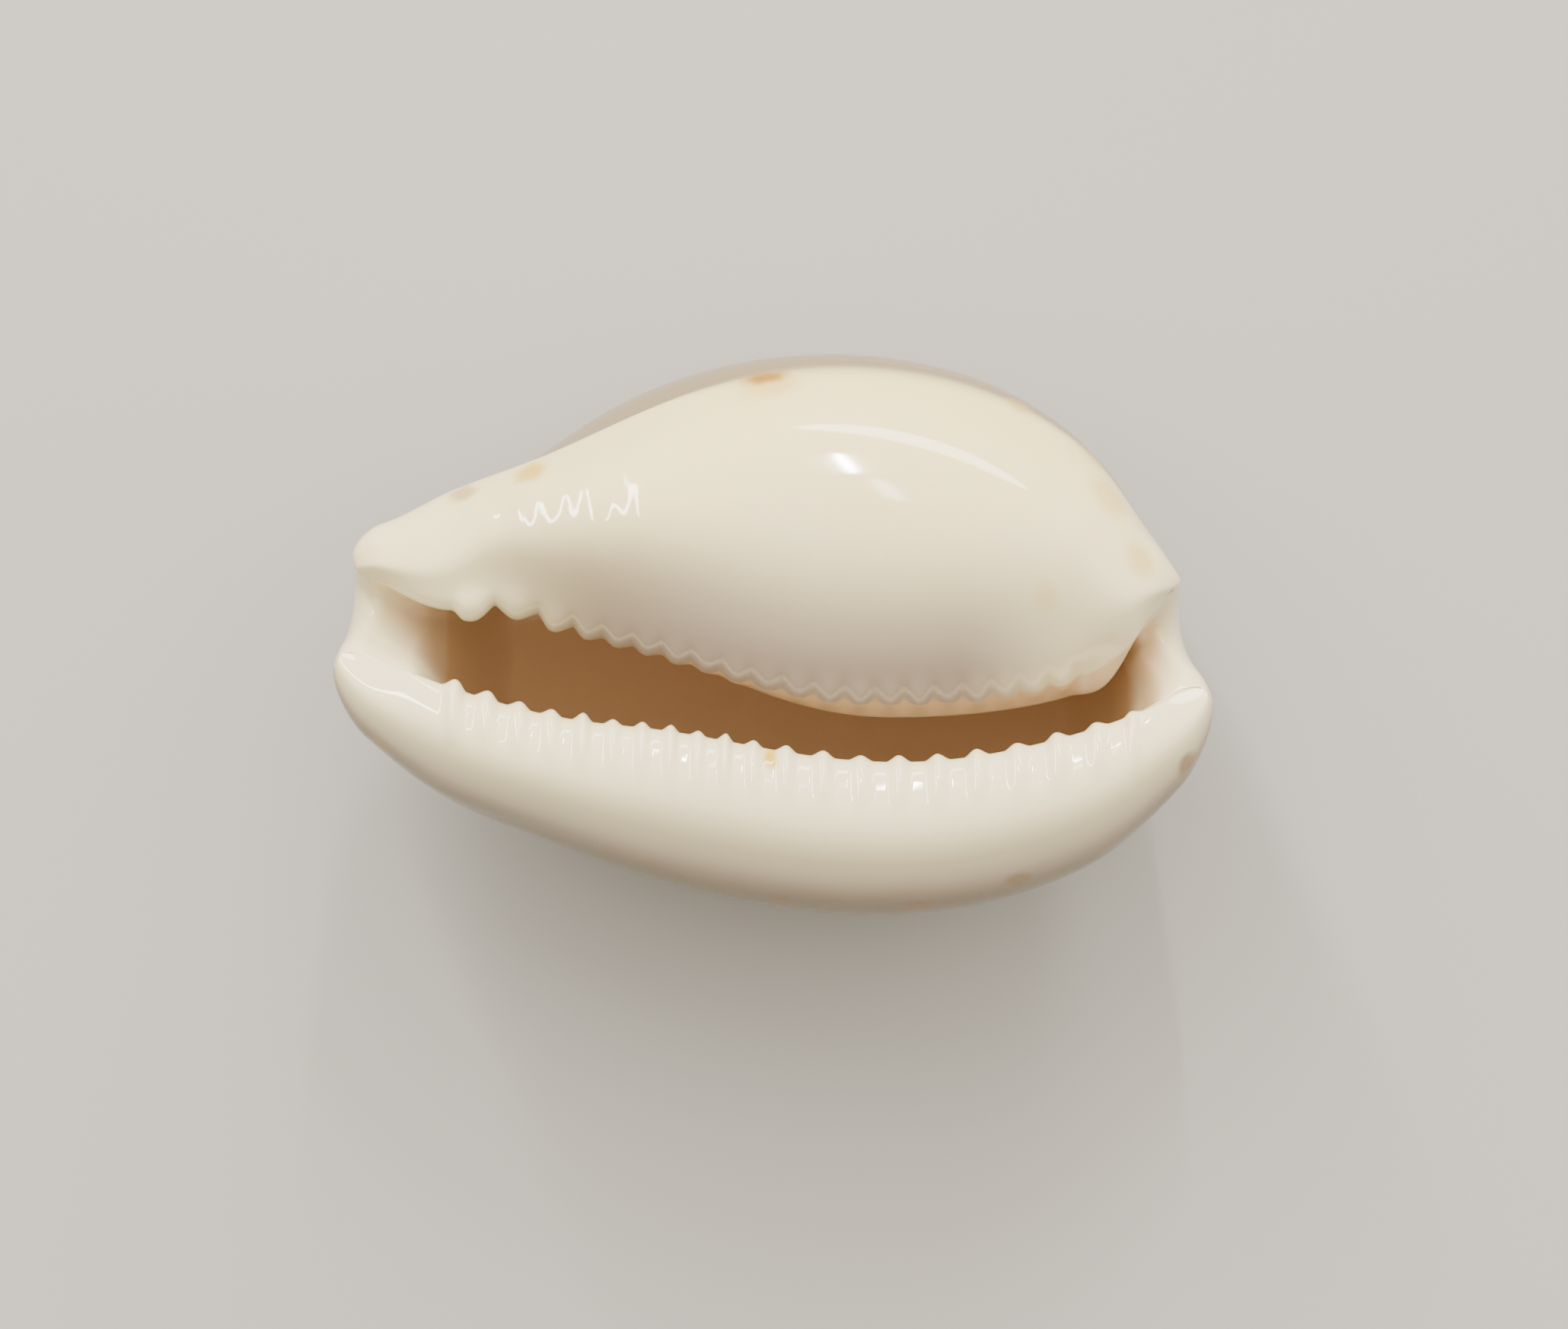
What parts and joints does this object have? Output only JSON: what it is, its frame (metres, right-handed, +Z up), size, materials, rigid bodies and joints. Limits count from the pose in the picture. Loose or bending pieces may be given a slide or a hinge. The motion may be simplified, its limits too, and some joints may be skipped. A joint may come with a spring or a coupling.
{
  "type": "cowrie shell",
  "caption": "Glossy egg-shaped sea shell with a long toothed slit along its flat side, resting on its rounded back.",
  "frame": {"origin": "middle of the shell's length and width, on the surface that it rests on", "axes": "+X towards the back end of the shell, +Y across to the inner lip's side, +Z up out of the mouth"},
  "size_m": [0.0299, 0.0193, 0.0146],
  "materials": {
    "shell": "gloss"
  },
  "bodies": {
    "root": {"shell": "shell"}
  },
  "joints": []
}
